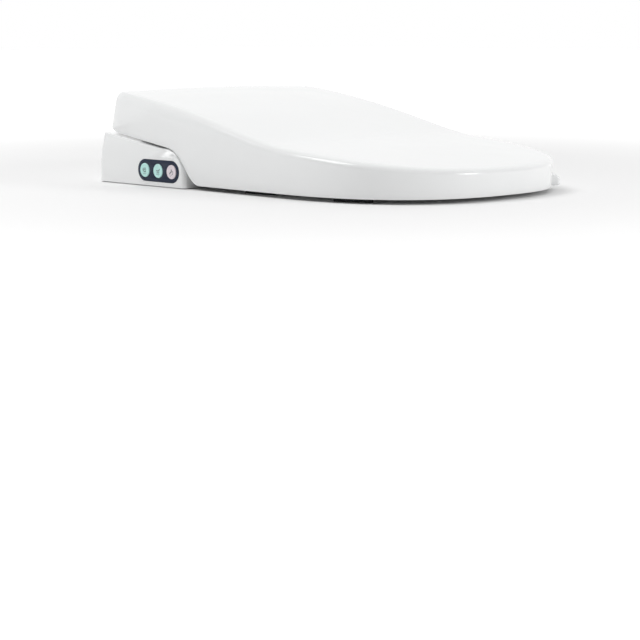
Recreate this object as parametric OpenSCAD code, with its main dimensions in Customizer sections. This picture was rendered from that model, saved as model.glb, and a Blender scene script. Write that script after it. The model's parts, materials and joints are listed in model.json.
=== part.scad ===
// Electric bidet seat: base unit, heated seat ring, lid, wash nozzle, dryer and deodoriser.
// Everything is drawn as (x, distance forward of the rear edge, height above the pan rim);
// from_rear() then puts the origin at the middle of the two fixing slots.

/* [Overall] */
// Width across the lid
lid_w = 365; // [340:1:400]
// Length from the rear edge of the base to the front of the lid
length = 541; // [505:1:580]
// Distance of the lid's widest point from the rear edge
widest_d = 347; // [330:1:360]

/* [Lid] */
// Wall thickness of the lid
lid_t = 2.8; // [2.2:0.1:4]
// Gap between the lid's lower edge and the pan rim
lid_gap = 5.5; // [4:0.5:9]
// Height of the lid at its front
lid_front_h = 39; // [36:0.5:46]
// Rise of the lid per millimetre towards the rear
lid_slope = 0.1; // [0.08:0.005:0.12]
// Extra height of the lid over the base unit
lid_hump = 29; // [26:0.5:34]
// Extra height of the lid along its middle
lid_crown = 3.5; // [2:0.5:5]

/* [Base] */
// Width of the base unit
base_w = 360; // [335:1:395]
// Length of the base unit's side arms
base_l = 173; // [168:1:180]
// Height of the base unit's sides at the rear
base_h = 64; // [60:0.5:66]
// Wall thickness of the base cover
base_t = 2.6; // [2:0.1:3.5]
// Half width of the hump that holds the water heater and the nozzle
hump_half_w = 108; // [104:1:114]

/* [Hinge] */
// Distance of the hinge axis from the rear edge
hinge_d = 42; // [41:0.5:43]
// Height of the hinge axis
hinge_z = 88; // [87:0.5:90]
// Radius of the hinge pins
pin_r = 4; // [3:0.25:5]
// Running clearance between a pin and its lug
pin_gap = 0.05; // [0.03:0.01:0.08]
// Half width of the hinge barrel
barrel_half_w = 130; // [126:1:132]

/* [Seat] */
// Thickness of the seat ring at the front
seat_h = 21; // [18:0.5:24]
// Height of the rubber bumpers under the seat
bumper_h = 8; // [6:0.5:10]
// Width of the opening in the seat
opening_w = 208; // [190:1:230]
// Length of the opening in the seat
opening_l = 270; // [250:1:290]
// Wall thickness of the seat shells
seat_t = 2.6; // [2:0.1:3.5]

/* [Controls] */
// Diameter of a push button
button_dia = 17.6; // [14:0.2:20]
// Distance between two push buttons
button_pitch = 25.5; // [22:0.5:27]
// Travel of a push button
button_travel = 1.2; // [0.6:0.1:2]
// Clearance around a push button
button_gap = 0.3; // [0.2:0.05:0.5]

/* [Nozzle] */
// Radius of the wash nozzle
wand_r = 7; // [6:0.25:8]
// Travel of the wash nozzle
wand_travel = 80; // [60:1:82]
// Slope of the wash nozzle, downwards to the front
wand_tilt = 23; // [20:0.5:25]
// Tooth size of the nozzle's rack and pinion
gear_m = 0.8; // [0.6:0.1:0.9]

/* [Fixing] */
// Distance between the two fixing slots
fixing_pitch = 155; // [140:1:170]
// Distance of the fixing slots from the rear edge
fixing_d = 95; // [85:1:105]
// Width of a fixing slot
slot_w = 9; // [7:0.5:11]
// Length of a fixing slot
slot_l = 34; // [24:1:40]
// Thread diameter of the water inlet
inlet_dia = 20.96; // [12:0.01:27]

/* [Hidden] */
$fn = 48;
gap = 0.4;
rear_d = 22;
corner_r = 16;
arm_flat_d = 128;
nose = length - widest_d;
nose_power = 2.52;
rear_narrowing = 3;
crease_end_d = 112;
lip_d = 31;
facet_inset = 8;
rear_cut_z = 106;
base_half = base_w / 2;
lid_half = lid_w / 2;
pin_end_x = base_half - 9;
barrel_r = 19;

shell_white = [0.95, 0.95, 0.95];
white_plastic = [0.88, 0.89, 0.9];
rubber_black = [0.1, 0.1, 0.11];
bezel_navy = [0.12, 0.17, 0.26];
mint = [0.68, 0.9, 0.88];
pink_grey = [0.86, 0.8, 0.82];
steel = [0.72, 0.73, 0.75];
board_green = [0.1, 0.4, 0.25];

module from_rear() { translate([0, fixing_d, 0]) mirror([0, 1, 0]) children(); }
module both_sides() { for (side = [0, 1]) mirror([side, 0, 0]) children(); }
// a (distance, height) outline given thickness along x, from x0 to x1
module across(x0, x1) {
    translate([x0, 0, 0]) rotate([90, 0, 90]) linear_extrude(x1 - x0) children();
}
module slab(x, d, z) { translate([x[0], d[0], z[0]]) cube([x[1] - x[0], d[1] - d[0], z[1] - z[0]]); }
module rod_x(x0, x1, d, z, r) { translate([x0, d, z]) rotate([0, 90, 0]) cylinder(h = x1 - x0, r = r); }

function around(mid, half) = [mid - half, mid + half];
function lerp(a, b, t) = a + (b - a) * t;
function unit(t) = max(0, min(1, t));
function smooth(t) = let (u = unit(t)) u * u * (3 - 2 * u);
function smoother(t) = let (u = unit(t)) u * u * u * (u * (6 * u - 15) + 10);

// ---------- heights that the lid, seat and base share ----------
arm_front_z = 9;
arm_flat_z = base_h - 15.5;
function arm_top(d) = d < arm_flat_d ? lerp(base_h, arm_flat_z, (d - 19) / (arm_flat_d - 19))
    : arm_front_z + (arm_flat_z - arm_front_z)
        * sqrt(max(0, 1 - pow((d - arm_flat_d) / (base_l - arm_flat_d), 2)));
function lid_low(d) = let (
    over = lerp(base_h + 1.9, arm_flat_z + 2.2, (d - lip_d) / (arm_flat_d + 3 - lip_d)),
    t = pow(unit((d - arm_flat_d - 3) / (base_l + 27 - arm_flat_d - 3)), 1.32))
    lerp(over, lid_gap, smoother(t));
function lid_top(d) = lid_front_h + lid_slope * (length - d)
    + lid_hump * (1 - exp(-pow(max(0, widest_d - 12 - d) / 150, 1.6)))
    - 1.5 * pow(unit((75 - d) / 53), 2);
function lid_drop(d) = 6.5 + 1 * smooth((length - 20 - d) / 120) + 7 * smooth((260 - d) / 110);

// ---------- lid outline and rings ----------
function lid_half_at(d) = lid_half - rear_narrowing * pow((widest_d - d) / (widest_d - rear_d), 2);
lid_corner_x = lid_half_at(rear_d + corner_r) - corner_r;
nose_steps = 16;
// distances of the side points, close together where the lower edge swings down
side_stops = concat([for (i = [1:9]) lerp(rear_d + corner_r, 125, i / 9)],
    [for (i = [1:18]) lerp(125, 215, i / 18)], [for (i = [1:12]) lerp(215, widest_d, i / 12)]);
lid_right = concat(
    [for (i = [0:5]) [lid_corner_x * i / 6, rear_d]],
    [for (i = [0:4]) [lid_corner_x + corner_r * sin(22.5 * i),
        rear_d + corner_r - corner_r * cos(22.5 * i)]],
    [for (d = side_stops) [lid_half_at(d), d]],
    [for (i = [1:nose_steps - 1]) let (a = 90 * i / nose_steps)
        [lid_half * pow(cos(a), 2 / nose_power), widest_d + nose * pow(sin(a), 2 / nose_power)]],
    [[0, length]]
);
function loop_of(half) = concat(half, [for (i = [len(half) - 2:-1:1]) [-half[i][0], half[i][1]]]);
lid_loop = loop_of(lid_right);
// outward direction at point i of a closed loop
function outward(loop, i) = let (n = len(loop), a = loop[(i + n - 1) % n], b = loop[(i + 1) % n],
    t = (b - a) / norm(b - a)) [t[1], -t[0]];

// where point i of the lid's outline goes, inset and at a height: an inset that is deeper than the
// corner's radius moves the corner and the sides beside it diagonally, so that the ring never folds
least_r = 2;
corner_blend = 60;
function ring_point(i, inset, z) = let (p = lid_loop[i], o = outward(lid_loop, i),
    main = min(inset, corner_r - least_r), near = unit(1 - (p[1] - rear_d - corner_r) / corner_blend),
    push = near == 0 ? o : [sign(p[0]) * unit(1 - (lid_corner_x - abs(p[0])) / corner_blend), -near],
    q = p - o * main - push * (inset - main)) [q[0], q[1], z];
// the crown runs right to the rear edge, and dies away to the sides and the front
function rear_crown(x, d) = (1 - pow(x / lid_half, 2)) * smooth((300 - d) / 200);
function lid_level(i, level, t) = let (
    p = lid_loop[i], d = max(p[1], lip_d), rear = pow(max(0, -outward(lid_loop, i)[1]), 2),
    back = p[1] < widest_d ? rear : 0, wedge = 1 - unit((d - rear_d) / (crease_end_d - rear_d)),
    ridge = lid_top(d) - lid_drop(d),
    crease = min(ridge - 1, lerp(lid_low(lip_d) + 1, ridge, unit((d - lip_d) / (crease_end_d - lip_d)))),
    lean = facet_inset * wedge,
    under = lerp(4, 1.5, smooth((d - 190) / 190)), round = lerp(0.6, 1, smooth((d - rear_d) / 120)),
    side = [[under, lid_low(d)], [0, crease], [lean, ridge],
        [lean + 1.2 * round, ridge + lid_drop(d) * 0.45], [lean + 4.5 * round, ridge + lid_drop(d) * 0.8],
        [lean + 11 * round, lid_top(d)]],
    end = [[6, lid_low(lip_d)], [0, 77], [4.5, rear_cut_z], [5.6, 108.3], [8.5, 110.8],
        [14, lid_top(rear_d + 14) - 1.2]],
    // the inner skin is pushed in, and down where it runs under the top
    skin = [[t, 0], [t, 0], [t, -0.3 * t], [t, -0.6 * t], [0.7 * t, -0.9 * t], [0.3 * t, -t]],
    crown = [0, 0, 0.5, 0.8, 0.9, 1] * lid_crown * rear_crown(p[0], p[1]),
    v = lerp(side[level], end[level], back) + skin[level]
) ring_point(i, v[0], v[1] + crown[level]);
lid_crown_steps = [0.86, 0.66, 0.42, 0.18];
function lid_roof(i, s, t) = let (p = lid_level(i, 5, t), spine = max(90, min(420, p[1])),
    d = lerp(spine, p[1], s), edge = p[2] + t - lid_crown * rear_crown(lid_loop[i][0], lid_loop[i][1]),
    crown = lerp(1 - s * s, 1 - pow(p[0] * s / lid_half, 2), smooth((300 - d) / 200)))
    [p[0] * s, d, lerp(lid_top(d), edge, pow(s, 6)) + lid_crown * crown - t];
function lid_skin(t) = concat(
    [for (level = [0:5]) [for (i = [0:len(lid_loop) - 1]) lid_level(i, level, t)]],
    [for (s = lid_crown_steps) [for (i = [0:len(lid_loop) - 1]) lid_roof(i, s, t)]]);

function flat(list) = [for (a = list, b = a) b];
// faces of a tube of rings; row r of ring a to ring b, n points a ring
function band(a, b, n) = [for (i = [0:n - 1]) let (j = (i + 1) % n) each [[a * n + i, a * n + j, b * n + j],
    [a * n + i, b * n + j, b * n + i]]];
// strips across the innermost ring of a loop that is the same on both sides; from is its first point
function cap(from, n, up) = flat([for (i = [0:n / 2 - 1]) let (a = from + i, b = a + 1,
    c = from + n - i - 1, d = from + (n - i) % n) up
    ? (i == 0 ? [[a, b, c]] : i == n / 2 - 1 ? [[a, b, d]] : [[a, b, c], [a, c, d]])
    : (i == 0 ? [[a, c, b]] : i == n / 2 - 1 ? [[a, d, b]] : [[a, c, b], [a, d, c]])]);
// a closed wall between an outer and an inner stack of rings
module walled_dome(outer, inner) {
    n = len(outer[0]);
    k = len(outer);
    polyhedron(points = concat(flat(outer), flat(inner)), faces = concat(
        flat([for (r = [0:k - 2]) band(r + 1, r, n)]),
        flat([for (r = [0:k - 2]) band(k + r, k + r + 1, n)]),
        band(0, k, n), cap((k - 1) * n, n, false), cap((2 * k - 1) * n, n, true)));
}
tab_turn = 45;
module lifting_tab() {
    root = -lid_t - 1.2;
    translate([lid_half * 0.782, widest_d + nose * 0.736, lid_gap]) rotate([0, 0, tab_turn - 90])
    linear_extrude(14) {
        for (side = [-9, 9]) translate([side, 6]) circle(r = 5);
        translate([-9, root]) square([18, 11 - root]);
        translate([-14, root]) square([28, 6 - root]);
    }
}
module lid_shell() {
    color(shell_white) from_rear() difference() {
        union() {
            walled_dome(lid_skin(0), lid_skin(lid_t));
            lifting_tab();
        }
        // the rear edge is open around the barrel and the seat's arms
        slab(around(0, seat_arm_x[1] + 1.5), [0, hinge_d + 3], [0, rear_cut_z]);
    }
}

// lid side plates that carry the hinge bores
lid_lug_x = [150, 168];
lug_r = 9;
module lid_hinge_arms() {
    color(white_plastic) from_rear() both_sides() difference() {
        union() {
            across(lid_lug_x[0], lid_lug_x[1]) {
                translate([hinge_d, hinge_z]) circle(r = lug_r);
                translate([hinge_d - 6, hinge_z]) square([34, 17]);
            }
            // the foot that is welded to the underside of the lid
            slab([lid_lug_x[0], lid_lug_x[0] + 12], [hinge_d, hinge_d + 28],
                [hinge_z + 10, lid_top(hinge_d) - 4]);
        }
        rod_x(lid_lug_x[0] - 1, lid_lug_x[1] + 1, hinge_d, hinge_z, pin_r + pin_gap);
    }
}
lid_bumper_at = [72, 498];
module lid_bumpers() {
    top = lid_top(lid_bumper_at[1]) + 1 - lid_t;
    base = seat_height(lid_bumper_at[1]) + gap;
    color(rubber_black) from_rear() both_sides()
        translate([lid_bumper_at[0], lid_bumper_at[1], base]) cylinder(h = top - base, r = 6);
}

// ---------- seat ring ----------
seat_rear_d = 192;
seat_inset = 10;
seat_steps = 80;
opening_mid_d = 350;
function power_oval(a, b, n, t) = [a * sign(cos(t)) * pow(abs(cos(t)), 2 / n),
    b * sign(sin(t)) * pow(abs(sin(t)), 2 / n)];
function seat_rim(t) = power_oval(lid_half - seat_inset,
    sin(t) > 0 ? nose - seat_inset : widest_d - seat_rear_d,
    sin(t) > 0 ? nose_power : 4, t) + [0, widest_d];
function seat_hole(t) = power_oval(opening_w / 2, opening_l / 2, 2.2, t) + [0, opening_mid_d];
function seat_under(d) = bumper_h + 28 * smooth((270 - d) / 75);
function seat_height(d) = bumper_h + seat_h + 28 * smooth((300 - d) / 110);
// fall of the seat's top below its crest, at shares of the way from rim to hole
seat_section = [[0, 99], [0, 8], [0.08, 2.6], [0.26, 0.5], [0.5, 0], [0.74, 1.2], [0.92, 4.2], [1, 9],
    [1, 99]];
function seat_point(t, share, fall, thick) = let (o = seat_rim(t), h = seat_hole(t), w = norm(h - o),
    s = lerp(thick / w, 1 - thick / w, share), p = lerp(o, h, s),
    z = fall > 90 ? seat_under(p[1]) : seat_height(p[1]) - fall - thick) [p[0], p[1], z];
function seat_ring(share, fall, thick) = [for (i = [0:seat_steps - 1])
    seat_point(360 * i / seat_steps, share, fall, thick)];
// a solid ring whose section is the closed stack of rings
module ring_solid(rings) {
    n = len(rings[0]);
    k = len(rings);
    polyhedron(points = flat(rings), faces = flat([for (r = [0:k - 1]) band(r, (r + 1) % k, n)]));
}
module seat_top_shell() {
    color(shell_white) from_rear() ring_solid(concat([for (v = seat_section) seat_ring(v[0], v[1], 0)],
        [for (i = [len(seat_section) - 1:-1:0]) let (v = seat_section[i]) seat_ring(v[0], v[1], seat_t)]));
}
function seat_layer(share, up, side) = [for (i = [0:seat_steps - 1])
    let (p = seat_point(360 * i / seat_steps, share, 99, side)) [p[0], p[1], p[2] + up]];
module seat_bottom_shell() {
    side = seat_t + 0.3;
    color(shell_white) from_rear() ring_solid([seat_layer(0, 0.4, side), seat_layer(0, 3, side),
        seat_layer(1, 3, side), seat_layer(1, 0.4, side)]);
}
module seat_heater() {
    under = seat_t + gap;
    lane = [for (i = [3:5]) seat_section[i]];
    color("silver") from_rear() ring_solid(concat([for (v = lane) seat_ring(v[0], v[1], under)],
        [for (i = [2:-1:0]) seat_ring(lane[i][0], lane[i][1] + 0.7, under)]));
}
seat_lug_x = [131.5, 147];
seat_arm_x = [131.5, 158];
module seat_hinge_arms() {
    color(shell_white) from_rear() both_sides() difference() {
        union() {
            across(seat_lug_x[0], seat_lug_x[1]) {
                translate([hinge_d, hinge_z]) circle(r = lug_r);
                polygon([[hinge_d + 5, hinge_z - 8], [hinge_d + 5, hinge_z + 8], [72, 84],
                    [72, arm_top(72) + 5], [60, arm_top(60) + 6]]);
            }
            across(seat_arm_x[0], seat_arm_x[1]) polygon([[62, arm_top(62) + 5],
                [arm_flat_d, arm_flat_z + 6], [165, arm_flat_z + 1], [205, seat_under(205) + 5],
                [232, seat_under(232) + 5], [232, seat_height(232) - 7], [205, seat_height(205) - 6],
                [165, 66], [arm_flat_d, 72], [62, 86]]);
        }
        rod_x(seat_lug_x[0] - 1, seat_lug_x[1] + 1, hinge_d, hinge_z, pin_r + pin_gap);
    }
}
// middles of the four bumpers: turned to follow the rim
bumper_places = [[152, 281, 0], [148, 431, 22]];
module seat_bumpers() {
    color(rubber_black) from_rear() both_sides() for (b = bumper_places)
        translate([b[0], b[1], 0]) rotate([0, 0, b[2]]) linear_extrude(bumper_h + 0.4) {
            square([14, 34], center = true);
            for (end = [-17, 17]) translate([0, end]) circle(r = 7);
        }
}
seat_screw_places = [[118, 300], [122, 390], [90, 465], [30, 500]];
module seat_screws() {
    color(steel) from_rear() both_sides() for (p = seat_screw_places) translate([p[0], p[1], 0]) {
        translate([0, 0, bumper_h + 0.4 - 1.6]) cylinder(h = 1.6, r = 3.4);
        translate([0, 0, bumper_h + 0.4]) cylinder(h = 9, r = 1.6);
    }
}
module occupancy_sensor() {
    color(board_green) from_rear() slab([118, 146], [330, 372], [bumper_h + 3, bumper_h + 6]);
}

// ---------- base unit ----------
cover_low = 1;
tray_top = 8;
module rounded_block(half, low, high, r_rear, r_front) {
    for (side = [-1, 1]) {
        translate([side * (half - r_rear), low + r_rear]) circle(r = r_rear);
        translate([side * (half - r_front), high - r_front]) circle(r = r_front);
    }
    translate([-half + r_rear, low]) square([2 * (half - r_rear), high - low - r_front]);
    translate([-half + r_front, low + r_rear]) square([2 * (half - r_front), high - low - r_rear]);
    translate([-half, low + r_rear]) square([2 * half, high - low - r_rear - r_front]);
}
module arm_side(inset, low) {
    polygon(concat([[inset, low], [19 + inset, base_h - inset], [arm_flat_d, arm_flat_z - inset]],
        [for (a = [84:-6:0]) [arm_flat_d + (base_l - arm_flat_d - inset) * cos(a),
            arm_front_z + (arm_flat_z - arm_front_z - inset) * sin(a)]], [[base_l - inset, low]]));
}
hump_front_d = 190;
module hump_side(inset, low) {
    polygon([[31 + inset, low], [31 + inset, 78], [hinge_d, hinge_z + barrel_r - inset], [100, 99 - inset],
        [150 - inset, 84 - inset], [183 - inset, 48], [hump_front_d - inset, 26],
        [hump_front_d - inset, low]]);
}
module base_body(inset, low) {
    intersection() {
        across(-base_half, base_half) arm_side(inset, low);
        translate([0, 0, low]) linear_extrude(base_h)
            rounded_block(base_half - inset, inset, base_l - inset, 14 - inset, 6 - inset);
    }
    across(-hump_half_w + inset, hump_half_w - inset) hump_side(inset, low);
    across(-barrel_half_w + inset * 6, barrel_half_w - inset * 6) {
        translate([hinge_d, hinge_z]) circle(r = barrel_r - inset);
        translate([31 + inset, low]) square([30 - 2 * inset, hinge_z - low]);
    }
}
screw_places = [[140, 15], [140, 155]];
inlet_d = 61;
inlet_z = 25;
recess_x = base_half - 24;
gland_d = 27;
gland_z = 22;
gland_r = 7;
filter_d = [106, 144];
filter_z = [12, 34];
release_d = [84, 96];
release_z = [12, 22];
window_d = [151, 163];
window_z = [12, 20];
bezel_mid_d = 124;
bezel_z = 20.2;
bezel_r = button_dia / 2 + 4.9;
bezel_half = button_pitch + button_dia / 2 + 4.9;
flap_x = [58.5, 95.5];
flap_z = [11, 28];
flap_axis = [hump_front_d - 2.4, 27];
nozzle_d = hump_front_d + 2;
nozzle_z = 22;
port_r = wand_r + 1;
module along_nozzle() { translate([0, nozzle_d, nozzle_z]) rotate([-90 - wand_tilt, 0, 0]) children(); }
module stadium(half, r) {
    translate([-half + r, -r]) square([2 * (half - r), 2 * r]);
    for (side = [-1, 1]) translate([side * (half - r), 0]) circle(r = r);
}
module base_cover() {
    color(shell_white) from_rear() difference() {
        base_body(0, cover_low);
        difference() {
            base_body(base_t, -1);
            slab([recess_x - 2.5, base_half], [inlet_d - 19.5, inlet_d + 19.5], [-2, inlet_z + 19.5]);
            both_sides() for (p = screw_places) translate([p[0], p[1], tray_top + gap])
                cylinder(h = 60, r = 5);
            slab([flap_x[0] - 7, flap_x[0] - 0.5], [hump_front_d - 6.5, hump_front_d], [21, 33]);
            slab([flap_x[1] + 0.5, flap_x[1] + 7], [hump_front_d - 6.5, hump_front_d], [21, 33]);
        }
        // tray and mounting plate slide in below
        translate([0, 0, -1]) linear_extrude(tray_top + 1 + gap)
            rounded_block(base_half - base_t, base_t, base_l - base_t, 11, 4);
        slab([-plate_half - 1, plate_half + 1], [-1, 20], [0, plate_t + 1]);
        both_sides() for (p = screw_places) translate([p[0], p[1], 0]) cylinder(h = 24, r = 2);
        slab([recess_x, base_half + 1], [inlet_d - 17, inlet_d + 17], [8.5, inlet_z + 17]);
        rod_x(recess_x - 5, recess_x + 1, inlet_d, inlet_z, 6.2);
        rod_x(base_half - 6, base_half + 1, gland_d, gland_z, gland_r);
        slab([base_half - 6, base_half + 1], filter_d, filter_z);
        slab([base_half - 6, base_half + 1], release_d, release_z);
        slab([base_half - 6, base_half + 1], window_d, window_z);
        across(-base_half - 1, -base_half + 6) translate([bezel_mid_d, bezel_z])
            stadium(bezel_half + 0.2, bezel_r + 0.2);
        both_sides() rod_x(barrel_half_w - 15, barrel_half_w + 1, hinge_d, hinge_z, pin_r);
        slab(flap_x + [-0.5, 0.5], [hump_front_d - 5, hump_front_d + 1], flap_z + [-0.5, 1.6]);
        rod_x(flap_x[0] - 4, flap_x[1] + 4, flap_axis[0], flap_axis[1], 1.5 + pin_gap);
        along_nozzle() translate([0, 0, -14]) cylinder(h = 14, r = port_r);
        along_nozzle() translate([-3.1, rack_y - 1.6, -14]) cube([6.2, 12, 14]);
        along_nozzle() translate([0, 0, -0.5]) cylinder(h = 20, r = port_r + 3.4);
    }
}
plate_half = 108;
plate_t = 4;
module base_tray() {
    color(white_plastic) from_rear() difference() {
        union() {
            slab(around(0, hump_half_w - base_t - gap), [150, hump_front_d - base_t - gap], [5, tray_top]);
            translate([0, 0, 5]) linear_extrude(tray_top - 5)
                rounded_block(base_half - base_t - gap, base_t + gap, base_l - base_t - gap, 11, 4);
            translate([0, 0, cover_low]) linear_extrude(5 - cover_low) difference() {
                rounded_block(base_half - base_t - gap, base_t + gap, base_l - base_t - gap, 11, 4);
                rounded_block(base_half - base_t - gap - 3, base_t + gap + 3, base_l - base_t - gap - 3,
                    8, 3);
            }
        }
        slab([-plate_half - 1, plate_half + 1], [0, 20], [0, 5]);
        both_sides() for (p = screw_places) translate([p[0], p[1], 0]) cylinder(h = 24, r = 2);
        slab([recess_x - 2.9, base_half], [inlet_d - 19.9, inlet_d + 19.9], [0, 24]);
        slab([-base_half, -base_half + base_t + 2.4], around(bezel_mid_d, bezel_half + 2),
            [bezel_z - bezel_r - gap, tray_top + 1]);
    }
}
module mounting_plate() {
    color(steel) from_rear() difference() {
        linear_extrude(plate_t) rounded_block(plate_half, fixing_d - 50, fixing_d + 50, 10, 10);
        for (side = [-1, 1]) translate([side * fixing_pitch / 2, fixing_d, -1]) linear_extrude(plate_t + 2)
            stadium(slot_l / 2, slot_w / 2);
    }
}
module base_pads() {
    color(rubber_black) from_rear() both_sides() for (d = [26, 158]) translate([156, d, 0])
        cylinder(h = 5, r = 7);
}
module cover_screws() {
    color(steel) from_rear() both_sides() for (p = screw_places) translate([p[0], p[1], 2.4]) {
        cylinder(h = 2.6, r = 4);
        cylinder(h = 20, r = 2);
    }
}

// ---------- controls ----------
module control_bezel() {
    color(bezel_navy) from_rear() difference() {
        union() {
            across(-base_half - 0.5, -base_half + base_t + 0.3) translate([bezel_mid_d, bezel_z])
                stadium(bezel_half, bezel_r);
            across(-base_half + base_t + 0.3, -base_half + base_t + 1.9) translate([bezel_mid_d, bezel_z])
                stadium(bezel_half + 1.5, bezel_r - 0.5);
        }
        for (i = [-1:1]) rod_x(-base_half - 2, -base_half + 8, bezel_mid_d + i * button_pitch, bezel_z,
            button_dia / 2 + button_gap);
    }
}
module push_button(place) {
    d = bezel_mid_d + place * button_pitch;
    back = -base_half + base_t + 2.4;
    rod_x(-base_half - 1.4, back, d, bezel_z, button_dia / 2);
    rod_x(back, back + 1.2, d, bezel_z, button_dia / 2 + 1);
    rod_x(back, back + 4, d, bezel_z, 2.5);
}
module button_rear_wash() { color(mint) from_rear() push_button(-1); }
module button_front_wash() { color(mint) from_rear() push_button(0); }
module button_stop() { color(pink_grey) from_rear() push_button(1); }
switch_x = -base_half + base_t + 6.4 + button_travel + 0.3;
module button_switches() {
    color("dimgray") from_rear() for (i = [-1:1]) {
        rod_x(switch_x, switch_x + 1.5, bezel_mid_d + i * button_pitch, bezel_z, 1.6);
        slab([switch_x + 1.5, switch_x + 4.5], around(bezel_mid_d + i * button_pitch, 3),
            around(bezel_z, 3));
    }
}
module control_board() {
    color(board_green) from_rear() {
        slab([switch_x + 4.5, switch_x + 6.1], [88, 160], [tray_top, 31]);
        slab([switch_x + 6.1, switch_x + 9], [100, 112], [14, 24]);
    }
}

// ---------- hinge ----------
module hinge_pins() {
    color(steel) from_rear() both_sides()
        rod_x(barrel_half_w - 14, lid_lug_x[1] + 0.5, hinge_d, hinge_z, pin_r);
}
module damper(x0, x1) {
    rod_x(x0, x1, hinge_d, hinge_z, 11);
    for (x = [x0, x1 - 4]) rod_x(x, x + 4, hinge_d, hinge_z, barrel_r - base_t);
}
module lid_damper() { color(steel) from_rear() damper(50, barrel_half_w - 6 * base_t); }
module seat_damper() { color(steel) from_rear() damper(-barrel_half_w + 6 * base_t, -50); }

// ---------- wash nozzle: local +Z runs out along the nozzle, local -Y is its upper side ----------
wand_l = 140;
pinion_at = -45;
pinion_teeth = 18;
pinion_r = pinion_teeth * gear_m / 2;
rack_y = -wand_r - 3;
tooth_pitch = PI * gear_m;
tooth_slack = 0.08;
module rack_tooth() {
    half = tooth_pitch / 4 - tooth_slack;
    lean = tan(20);
    root = half + 1.25 * gear_m * lean;
    tip = half - 0.9 * gear_m * lean;
    root_y = rack_y + 1.25 * gear_m + 0.2;
    tip_y = rack_y - 0.9 * gear_m;
    polygon([[root_y, -root], [tip_y, -tip], [tip_y, tip], [root_y, root]]);
}
module nozzle_wand() {
    teeth = floor((wand_travel + 30) / tooth_pitch);
    color(white_plastic) from_rear() along_nozzle() {
        translate([0, 0, -wand_l]) cylinder(h = wand_l - 16, r = wand_r);
        // the rack lies in the plane of the pinion
        translate([-2.5, 0, 0]) rotate([90, 0, 90]) linear_extrude(5) {
            for (k = [0:teeth - 1]) translate([0, pinion_at + tooth_pitch * (10.5 - k)]) rack_tooth();
        }
        translate([-2.5, rack_y + 1.25 * gear_m, pinion_at + 11 * tooth_pitch - tooth_pitch * teeth])
            cube([5, 3, tooth_pitch * teeth]);
    }
}
module nozzle_head() {
    color(mint) from_rear() along_nozzle() difference() {
        translate([0, 0, -16]) cylinder(h = 16.3, r = wand_r);
        for (z = [-11, -8, -5]) translate([0, -wand_r - 1, z]) rotate([-90, 0, 0]) cylinder(h = 4, r = 0.7);
    }
}
module nozzle_shutter() {
    color(shell_white) from_rear() along_nozzle() translate([0, 0, 0.3])
        cylinder(h = 2.2, r = port_r + 2.6);
}
function involute_turn(r) = let (a = acos(min(1, pinion_r * cos(20) / r))) tan(a) * 180 / PI - a;
function tooth_half(r) = 90 / pinion_teeth - tooth_slack / pinion_r * 180 / PI + involute_turn(pinion_r)
    - involute_turn(max(r, pinion_r * cos(20)));
pinion_radii = [pinion_r - 1.15 * gear_m, pinion_r - 0.4 * gear_m, pinion_r, pinion_r + 0.45 * gear_m,
    pinion_r + 0.9 * gear_m];
module pinion_outline() {
    polygon(flat([for (k = [0:pinion_teeth - 1]) let (mid = 360 * k / pinion_teeth) concat(
        [for (r = pinion_radii) let (a = mid - tooth_half(r)) r * [cos(a), sin(a)]],
        [for (i = [4:-1:0]) let (r = pinion_radii[i], a = mid + tooth_half(r)) r * [cos(a), sin(a)]])]));
}
module at_pinion() { along_nozzle() translate([0, rack_y - pinion_r, pinion_at]) children(); }
module nozzle_pinion() {
    color("ivory") from_rear() at_pinion() {
        translate([-3, 0, 0]) rotate([90, 0, 90]) linear_extrude(6) pinion_outline();
        translate([-5, 0, 0]) rotate([0, 90, 0]) cylinder(h = 23, r = 1.5);
    }
}
module nozzle_motor() {
    color(steel) from_rear() at_pinion() difference() {
        union() {
            translate([9, 0, 0]) rotate([0, 90, 0]) cylinder(h = 24, r = 11);
            translate([9, -9, -16]) cube([3, 18, 22]);
        }
        translate([8, 0, 0]) rotate([0, 90, 0]) cylinder(h = 12, r = 1.5 + pin_gap);
    }
}
module nozzle_guide() {
    color(white_plastic) from_rear() difference() {
        union() {
            along_nozzle() translate([0, 0, -wand_l + 6]) cylinder(h = wand_l - 30, r = wand_r + 3);
            slab([-5, 5], [80, 88], [tray_top, 64]);
            slab([-5, 5], [150, 156], [tray_top, 34]);
        }
        along_nozzle() translate([0, 0, -wand_l - 1]) cylinder(h = wand_l + 20, r = wand_r + 0.3);
        along_nozzle() translate([-3.2, -wand_r - 10, -wand_l - 1]) cube([6.4, wand_r + 10, wand_l + 20]);
    }
}

// ---------- water ----------
module inlet_fitting() {
    color("goldenrod") from_rear() difference() {
        union() {
            rod_x(recess_x, recess_x + 18, inlet_d, inlet_z, inlet_dia / 2);
            rod_x(recess_x - 16, recess_x, inlet_d, inlet_z, 6);
        }
        rod_x(recess_x - 17, recess_x + 19, inlet_d, inlet_z, 4);
        rod_x(recess_x + 2, recess_x + 19, inlet_d, inlet_z, 6);
    }
}
module inlet_filter() {
    color(white_plastic) from_rear() {
        rod_x(recess_x + 2, recess_x + 15, inlet_d, inlet_z, 4.6);
        rod_x(recess_x + 15, recess_x + 16.5, inlet_d, inlet_z, 6);
    }
}
valve_x = [114, recess_x - 16];
module solenoid_valve() {
    color("whitesmoke") from_rear() {
        slab(valve_x, [inlet_d - 9, inlet_d + 9], [inlet_z - 10, inlet_z + 10]);
        translate([(valve_x[0] + valve_x[1]) / 2, inlet_d, inlet_z + 10]) cylinder(h = 18, r = 9);
    }
}
module flow_sensor() {
    color("dimgray") from_rear() translate([124, inlet_d + 9, inlet_z]) rotate([-90, 0, 0])
        cylinder(h = 18, r = 8);
}
tank_x = [-100, -24];
tank_d = [70, 148];
tank_z = [tray_top, 66];
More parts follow.
